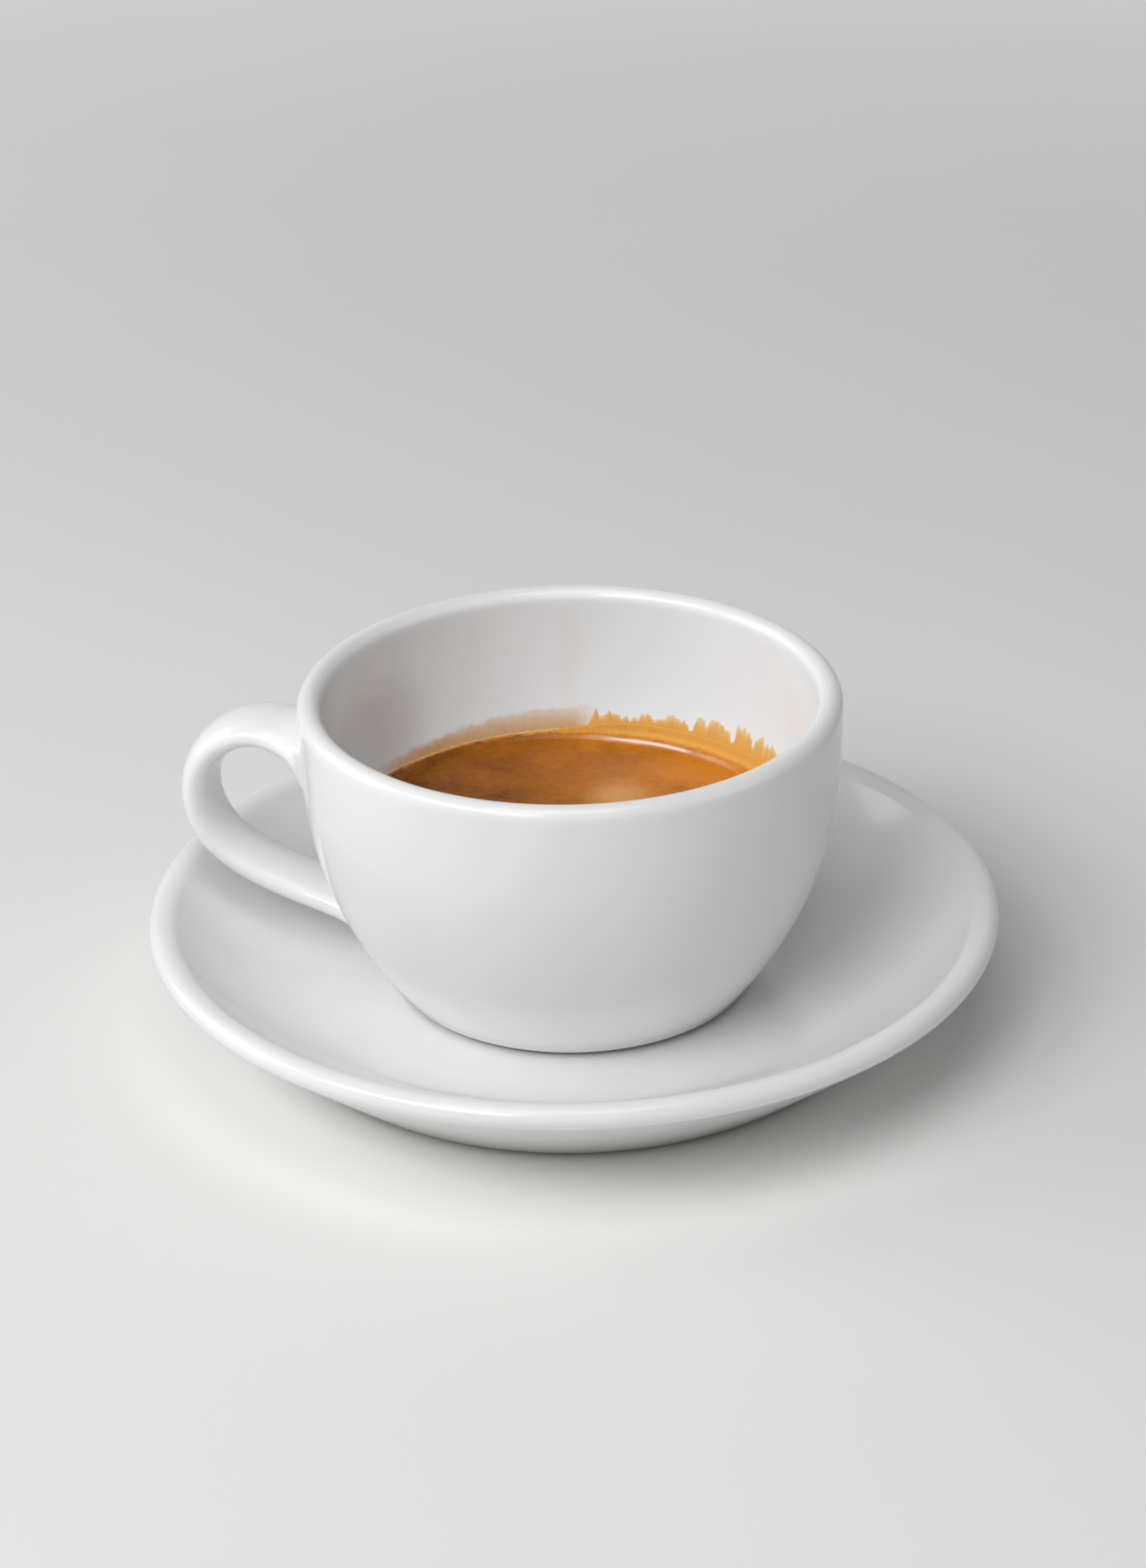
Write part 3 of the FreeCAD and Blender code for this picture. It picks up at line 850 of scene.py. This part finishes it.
def handle_rings(cup, handle):
    """Oval rings of the strap clear of the wall, in order from the upper root to the lower one."""
    line = handle_line(cup, handle)
    clear = [-x - cup.outside(z) for x, z in line]
    first = next(i for i, away in enumerate(clear) if away > STRAP_CLEAR)
    last = next(i for i in range(STRAP_STEPS, 0, -1) if clear[i] > STRAP_CLEAR)
    sides = 2 * (ROOT_COLUMNS + ROOT_ROWS)
    swell = limit_swell(2 * math.pi / sides)
    rings = []
    for step in range(STRAP_RINGS + 1):
        share = step / STRAP_RINGS
        crowd = share - 0.09 * math.sin(2 * math.pi * share)      # closer together at the roots
        i = round(first + crowd * (last - first))
        x, z = line[i]
        along = np.array(line[min(i + 3, STRAP_STEPS)]) - np.array(line[max(i - 3, 0)])
        along /= np.linalg.norm(along)
        outward = np.array([along[1], -along[0]])
        root = math.exp(-max(0, clear[i]) / handle.root_fade)
        taper = 1 - handle.taper * (i / STRAP_STEPS - 0.5)
        half_width = handle.width / 2 * taper * (1 + (handle.root_widen - 1) * root) * swell
        half_depth = handle.thickness / 2 * (1 + (handle.root_thicken - 1) * root) * swell
        ring = []
        for side in range(sides):
            turn = math.pi / 2 - 2 * math.pi * side / sides
            off = half_depth * math.sin(turn)
            ring.append((x + off * outward[0], half_width * math.cos(turn), z + off * outward[1]))
        rings.append(ring)
    return rings


def root_loop(row, upper):
    """Wall points (row, column) round a root, in the order of the strap's rings."""
    middle, half = COLUMNS // 2, ROOT_COLUMNS // 2
    start, end = (row + ROOT_ROWS, row) if upper else (row, row + ROOT_ROWS)
    between = list(range(start, end, -1 if upper else 1))[1:]
    near, far = middle - half, middle + half
    loop = [(start, column) for column in range(middle, near - 1, -1)]
    loop += [(at, near) for at in between]
    loop += [(end, column) for column in range(near, far + 1)]
    loop += [(at, far) for at in reversed(between)]
    loop += [(start, column) for column in range(far, middle, -1)]
    return loop


def cup_cage(cup, handle):
    """The cage of points and faces that subdivision rounds into the cup with its handle."""
    rings, (lower, upper), recess = cup_rings(cup, handle)
    swell = limit_swell(2 * math.pi / COLUMNS)
    rings = [round_ring(radius * swell, height, COLUMNS) for radius, height in rings]
    verts, faces = closed_rings(rings, (0, 0, recess), (0, 0, cup.cavity_bottom))

    # the wall is left open where the handle grows out of it
    near = COLUMNS // 2 - ROOT_COLUMNS // 2
    open_rows = [row for root in (lower, upper) for row in range(root, root + ROOT_ROWS)]
    cut = {row * COLUMNS + near + column for row in open_rows for column in range(ROOT_COLUMNS)}
    faces = [face for number, face in enumerate(faces) if number not in cut]

    def wall(row, column):
        return 1 + row * COLUMNS + column

    loops = [[wall(*at) for at in root_loop(upper, True)]]
    for ring in handle_rings(cup, handle):
        loops.append(list(range(len(verts), len(verts) + len(ring))))
        verts += ring
    loops.append([wall(*at) for at in root_loop(lower, False)])
    for one, other in zip(loops, loops[1:]):
        faces += band(one, other)
    return verts, faces


class ESPRESSO_OT_cup(bpy.types.Operator):
    """Build the cup with its handle in one piece and glaze it"""
    bl_idname = "espresso.cup"
    bl_label = "Cup"

    def execute(self, context):
        scene = context.scene
        cup_sizes = scene.espresso_cup
        bare = cup_sizes.base + cup_sizes.bare
        finish = glazed_porcelain(scene.espresso_colours, bare, film=True)
        cup = add_mesh("glazed_cup", *cup_cage(cup_sizes, scene.espresso_handle), finish)
        rounding = cup.modifiers.new("rounding", "SUBSURF")
        rounding.levels = rounding.render_levels = 2
        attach(cup, "root")
        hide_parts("cup")
        return {"FINISHED"}


# ---------------------------------------------------------------- drink
class ESPRESSO_OT_coffee(bpy.types.Operator):
    """Give the coffee under the crema its finish"""
    bl_idname = "espresso.coffee"
    bl_label = "Coffee"

    def execute(self, context):
        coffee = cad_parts["coffee"]
        coffee.data.materials.clear()
        coffee.data.materials.append(espresso(context.scene.espresso_colours))
        return {"FINISHED"}


def crema_height(drink, cup, x, y):
    """Top of the crema: level, a little uneven, with a thicker ring that climbs the wall.

    The ring is wide and high on the side drunk from, and about half that by the handle.
    """
    spot, radius = Vector((x, y, 0)), math.hypot(x, y)
    wander = noise.noise(spot / (9 * MM))                       # of the ring's edge, over 9 mm
    side = clamp((x - RING_NARROW) / (RING_FULL - RING_NARROW))
    width = drink.collar_width * (0.5 + 0.5 * side)
    foot = cup.inside(drink.level) - width + 0.25 * MM * wander
    share = clamp((radius - foot) / drink.collar_slope)
    step = drink.collar * (0.6 + 0.4 * side) * (1 + 0.05 * wander) * ease(share)
    near = clamp((radius - foot - 0.5 * width) / (0.5 * width), 1.1)
    climb = drink.climb * (0.15 + 0.85 * ease(side))
    swell = noise.noise(spot / (11 * MM) + Vector((7, 3, 1))) * drink.ripple
    return drink.level + step + climb * near ** 4 + swell


class ESPRESSO_OT_crema(bpy.types.Operator):
    """Lay the crema on the coffee, up to the wall"""
    bl_idname = "espresso.crema"
    bl_label = "Crema"

    def execute(self, context):
        scene = context.scene
        drink, cup, columns = scene.espresso_drink, scene.espresso_cup, 288
        tuck = 0.6 * MM                        # how far the foam's edge reaches into the wall
        wall = cup.inside(drink.level)
        bare = wall - drink.collar_width
        outline = [(bare * share, drink.bottom) for share in (0.3, 0.7)]
        for share in (0, 0.5):
            height = drink.bottom + share * (drink.level - drink.bottom)
            outline.append((cup.inside(height) + tuck, height))
        rings = [round_ring(radius, height, columns) for radius, height in outline]
        inner = bare - 0.3 * MM                # fine rings over the thick ring, wide ones inside it
        for radius in spaced(wall + tuck, inner, 42) + spaced(inner, 0, 26):
            rings.append([(x, y, crema_height(drink, cup, x, y))
                          for x, y, _ in round_ring(radius, 0, columns)])
        finish = crema_foam(scene.espresso_colours)
        crema = add_mesh("crema_foam", *closed_rings(
            rings, (0, 0, drink.bottom), (0, 0, crema_height(drink, cup, 0, 0))), finish)
        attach(crema, "root")
        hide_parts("crema")
        return {"FINISHED"}


BUBBLE_BAND = 2.2 * MM      # width of the bubbles' band along the wall, dense at the wall only


def bubble_tree():
    """Strews small bubbles over a surface, thickest towards its rim."""
    tree, given = new_tree("bubbles", [
        ("Density", "NodeSocketFloat"), ("Bubble", "NodeSocketFloat"), ("Rim", "NodeSocketFloat"),
        ("Level", "NodeSocketFloat"), ("Seed", "NodeSocketInt"), ("Finish", "NodeSocketMaterial")])
    place = add_node(tree, "GeometryNodeInputPosition")
    within = add_node(tree, "ShaderNodeMath", {0: given["Rim"], 1: off_axis(tree, place)},
                      operation="SUBTRACT")
    crowd = add_node(tree, "ShaderNodeMapRange", {
        "Value": within, "From Min": 0, "From Max": BUBBLE_BAND, "To Min": 1, "To Max": 0},
        interpolation_type="SMOOTHSTEP")
    height = add_node(tree, "ShaderNodeSeparateXYZ", {"Vector": place}).outputs["Z"]
    on_top = add_node(tree, "FunctionNodeCompare", {"A": height, "B": given["Level"]},
                      data_type="FLOAT", operation="GREATER_THAN")
    off_wall = add_node(tree, "FunctionNodeCompare", {"A": within, "B": 0},
                        data_type="FLOAT", operation="GREATER_THAN")
    seen = add_node(tree, "FunctionNodeBooleanMath", {0: on_top, 1: off_wall}, operation="AND")
    facing = add_node(tree, "GeometryNodeInputNormal")
    level = add_node(tree, "ShaderNodeSeparateXYZ", {"Vector": facing}).outputs["Z"]
    strewn = add_node(tree, "ShaderNodeMath", {0: crowd, 1: given["Density"]}, operation="MULTIPLY")
    # a steep place counts by the level area under it, so about the given number comes out
    in_plan = add_node(tree, "ShaderNodeMath", {0: strewn, 1: level}, operation="MULTIPLY")
    points = add_node(tree, "GeometryNodeDistributePointsOnFaces", {
        "Mesh": given["Geometry"], "Selection": seen, "Density": in_plan, "Seed": given["Seed"]})
    sphere = add_node(tree, "GeometryNodeMeshUVSphere", {
        "Radius": given["Bubble"], "Segments": 8, "Rings": 5})
    sizes = add_node(tree, "FunctionNodeRandomValue", {
        "Min": 0.45, "Max": 1.5, "Seed": given["Seed"]}, data_type="FLOAT")
    placed = add_node(tree, "GeometryNodeInstanceOnPoints", {
        "Points": points, "Instance": sphere.outputs["Mesh"], "Scale": sizes})
    real = add_node(tree, "GeometryNodeRealizeInstances", {"Geometry": placed})
    smooth = add_node(tree, "GeometryNodeSetShadeSmooth", {"Geometry": real})
    coated = add_node(tree, "GeometryNodeSetMaterial", {
        "Geometry": smooth, "Material": given["Finish"]})
    add_node(tree, "NodeGroupOutput", {"Geometry": coated})
    return tree


class ESPRESSO_OT_bubbles(bpy.types.Operator):
    """String small bubbles along the wall, half sunk in the crema"""
    bl_idname = "espresso.bubbles"
    bl_label = "Bubbles"

    def execute(self, context):
        scene = context.scene
        drink, cup = scene.espresso_drink, scene.espresso_cup
        crema = bpy.data.objects.get("crema_foam")
        if crema is None:
            raise RuntimeError("the crema comes before its bubbles")
        rim = cup.inside(drink.level)
        ring_area = math.pi * (rim ** 2 - (rim - BUBBLE_BAND / 2) ** 2)
        bubbles = run_tree(show("bubble_bed", crema.data.copy()), bubble_tree(), {
            "Density": drink.bubbles / ring_area, "Bubble": drink.bubble, "Rim": rim,
            "Level": drink.level - drink.ripple, "Seed": 3,
            "Finish": bpy.data.materials["crema_foam"]}, "crema_bubbles")
        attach(bubbles, "root")
        return {"FINISHED"}


# ---------------------------------------------------------------- residue on the wall
# top of the film round the bowl, in degrees and millimetres: high on the side drunk from
CREST = ((-150, 35.4), (-100, 36.2), (-60, 37.6), (-25, 39), (10, 39.8), (37, 39.9), (52, 39.7),
         (66, 39.2), (78, 38.2), (92, 37.7), (97.6, 38), (99.4, 35.4), (113, 35.1), (138, 34.9),
         (160, 34.9), (210, 35.4))
# the larger fingers: middle, half width, and how far each stands over the crest
FINGERS = ((98.3, 1.3, 0.9), (93.2, 1.8, 0.6), (84.4, 1.6, 0.7), (77.2, 1.7, 1.1), (69, 1.3, 1.2),
           (64.1, 2, 1.2), (55.3, 2.4, 1.3), (48.6, 1.2, 1.2), (44, 1.6, 0.6), (37.6, 2, 0.9),
           (30, 1.8, 1), (22, 1.4, 0.8), (12, 2.2, 1), (2, 1.6, 0.9), (-11, 2, 1.1),
           (-24, 1.5, 0.8))
# narrow clean gaps between them
GAPS = ((71.7, 0.7, 1.6), (58.6, 0.8, 1.9), (51.4, 0.5, 1.4), (88.6, 0.6, 0.5), (34, 0.6, 1.3),
        (17, 0.8, 1.2), (-4, 0.6, 1.4))


def crest(residue, degrees):
    """Height of the film's upper edge at a place round the bowl."""
    angles, heights = zip(*CREST)
    here = (degrees - angles[0]) % 360 + angles[0]
    height = float(np.interp(here, angles, heights))
    for (middle, half, rise), sign in [(f, 1) for f in FINGERS] + [(g, -1) for g in GAPS]:
        off = abs(here - middle) / half
        height += sign * rise * clamp(2.2 * (1.25 - off))       # a flat top and steep sides
    thick = clamp((height - 35.6) / 2)                          # low, the small fingers fade
    # the small fingers are about a degree wide, with finer ones on them
    fine = noise.noise(Vector((here * 0.9, residue.seed, 0))) + 0.6 * noise.noise(
        Vector((here * 2.7, residue.seed + 5, 0)))
    return height * MM + residue.finger * (0.25 + 0.75 * thick) * 0.45 * math.tanh(2.2 * fine)


FILM_COLUMNS = 1800         # steps round the bowl, fine enough for the narrow gaps
FILM_ROWS, FILM_BACKS = 9, 3        # points up the film's face, and down its back in the wall


def film_column(residue, cup, start, degrees):
    """Points of the film at one place round the bowl, up its face and down its hidden back."""
    turn = math.radians(degrees)
    top = crest(residue, degrees)
    along = Vector((math.cos(turn), math.sin(turn), 0))

    def place(share, inset):
        height = start + share * (top - start)
        return along * (cup.inside(height) - inset) + Vector((0, 0, height))

    points = []
    for row in range(FILM_ROWS):
        share = row / (FILM_ROWS - 1)
        spot = along * 43 + Vector((0, 0, share * 3))           # in millimetres
        body = residue.thickness * (1 - 0.55 * share) * (1 + 0.35 * noise.noise(spot))
        points.append(place(share, body * math.sqrt(1 - share ** 5) - 0.02 * MM))
    for back in range(FILM_BACKS):
        points.append(place(0.95 * (1 - back / (FILM_BACKS - 1)), -0.15 * MM))
    return points


class ESPRESSO_OT_residue(bpy.types.Operator):
    """Leave the film of crema on the wall, with its fingered upper edge"""
    bl_idname = "espresso.residue"
    bl_label = "Crema on the wall"

    def execute(self, context):
        scene = context.scene
        residue, cup, drink = scene.espresso_residue, scene.espresso_cup, scene.espresso_drink
        start = drink.level + 0.45 * drink.collar
        columns = [film_column(residue, cup, start, 360 * column / FILM_COLUMNS)
                   for column in range(FILM_COLUMNS)]
        verts = [point for ring in zip(*columns) for point in ring]
        numbers = [list(range(at, at + FILM_COLUMNS)) for at in range(0, len(verts), FILM_COLUMNS)]
        faces = [face for one, other in zip(numbers, numbers[1:] + numbers[:1])
                 for face in band(one, other)]
        film = add_mesh("crema_film", verts, faces, crema_film(scene.espresso_colours))
        shares = [row / (FILM_ROWS - 1) for row in range(FILM_ROWS)] + [0] * FILM_BACKS
        height_share = film.data.attributes.new("share_of_height", "FLOAT", "POINT")
        height_share.data.foreach_set(
            "value", [share for share in shares for _ in range(FILM_COLUMNS)])
        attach(film, "root")
        return {"FINISHED"}


# ---------------------------------------------------------------- stage
def direction(turn, rise):
    """The unit vector towards a place round the cup and above the horizon."""
    level = math.cos(rise)
    return Vector((math.cos(turn) * level, math.sin(turn) * level, math.sin(rise)))


LAMP_DISTANCE = 1.35        # metres from the middle of the cup
# each lamp's place, in degrees round the cup from +X and above the horizon, then its width and
# height in metres
LAMPS = {"key": (-121, 41, 1.1, 0.5), "top": (-90, 72, 0.9, 0.9), "left": (180, 25, 1, 0.9),
         "front": (-80, 24, 1, 0.7), "right": (0, 25, 0.8, 0.8)}


def soft_light(name, watts):
    """One of the lamps, a soft rectangle that faces the cup."""
    turn, rise, width, height = LAMPS[name]
    towards = direction(math.radians(turn), math.radians(rise))
    data = bpy.data.lights.new(name, "AREA")
    data.shape, data.size, data.size_y, data.energy = "RECTANGLE", width, height, watts
    light = bpy.data.objects.new(name, data)
    bpy.context.scene.collection.objects.link(light)
    light.location = towards * LAMP_DISTANCE + Vector((0, 0, CUP_BOX[1].z / 2))
    light.rotation_mode = "QUATERNION"
    light.rotation_quaternion = (-towards).to_track_quat("-Z", "Y")


def plain_surroundings(stage):
    """An even white world that lights weakly and looks brighter than it lights."""
    world = bpy.data.worlds.new("plain_surroundings")
    world.use_nodes = True
    tree = world.node_tree
    tree.nodes.clear()
    strength = add_node(tree, "ShaderNodeMix", {
        "Factor": seen_share(tree), "A": stage.fill, "B": stage.surroundings})
    sky = add_node(tree, "ShaderNodeBackground", {
        "Color": rgba(linear("#ffffff")), "Strength": strength})
    add_node(tree, "ShaderNodeOutputWorld", {"Surface": sky})
    return world


class ESPRESSO_OT_stage(bpy.types.Operator):
    """Lay the floor, and set the lights, the surroundings and the camera"""
    bl_idname = "espresso.stage"
    bl_label = "Stage"

    def execute(self, context):
        scene = context.scene
        stage = scene.espresso_stage
        half = stage.floor / 2
        mesh = bpy.data.meshes.new("floor")
        mesh.from_pydata([(-half, -half, 0), (half, -half, 0), (half, half, 0), (-half, half, 0)],
                         [], [(0, 1, 2, 3)])
        mesh.materials.append(matt_floor(stage))
        show("floor", mesh)
        scene.world = plain_surroundings(stage)
        for name in LAMPS:
            soft_light(name, getattr(stage, name))

        back = direction(stage.turn, stage.rise)
        aside = direction(stage.turn + math.pi / 2, 0)
        look = stage.look_aside * aside + Vector((0, 0, stage.look_height))
        data = bpy.data.cameras.new("camera")
        data.sensor_width, data.lens = 36, stage.lens
        data.clip_start, data.clip_end = 0.05, 50
        camera = bpy.data.objects.new("camera", data)
        scene.collection.objects.link(camera)
        camera.rotation_mode = "QUATERNION"
        camera.location = look + back * stage.distance
        upright = (-back).to_track_quat("-Z", "Y")
        camera.rotation_quaternion = upright @ Quaternion((0, 0, 1), stage.roll)
        scene.camera = camera
        scene.view_settings.view_transform = "Standard"
        return {"FINISHED"}


# ---------------------------------------------------------------- panel and registration
GROUPS = (("espresso_saucer", SaucerSizes), ("espresso_cup", CupSizes),
          ("espresso_handle", HandleSizes), ("espresso_drink", DrinkSizes),
          ("espresso_residue", ResidueSizes), ("espresso_colours", FinishColours),
          ("espresso_stage", StageSizes))
OPERATORS = (ESPRESSO_OT_saucer, ESPRESSO_OT_cup, ESPRESSO_OT_coffee, ESPRESSO_OT_crema,
             ESPRESSO_OT_residue, ESPRESSO_OT_bubbles, ESPRESSO_OT_stage)


class ESPRESSO_PT_panel(bpy.types.Panel):
    """Sizes, colours and steps of the espresso and its cup"""
    bl_idname = "ESPRESSO_PT_panel"
    bl_label = "Espresso"
    bl_space_type = "VIEW_3D"
    bl_region_type = "UI"
    bl_category = "Espresso"

    def draw(self, context):
        for operator in OPERATORS:
            self.layout.operator(operator.bl_idname)
        for name, group in GROUPS:
            box = self.layout.box()
            box.label(text=name.removeprefix("espresso_").capitalize())
            for field in group.__annotations__:
                box.prop(getattr(context.scene, name), field)


def register():
    for name, group in GROUPS:
        bpy.utils.register_class(group)
        setattr(bpy.types.Scene, name, PointerProperty(type=group))
    for cls in OPERATORS + (ESPRESSO_PT_panel,):
        bpy.utils.register_class(cls)


def unregister():
    for cls in reversed(OPERATORS + (ESPRESSO_PT_panel,)):
        bpy.utils.unregister_class(cls)
    for name, group in reversed(GROUPS):
        delattr(bpy.types.Scene, name)
        bpy.utils.unregister_class(group)


def main():
    register()
    for operator in OPERATORS:
        category, name = operator.bl_idname.split(".")
        getattr(getattr(bpy.ops, category), name)()


if __name__ == "__main__":
    main()
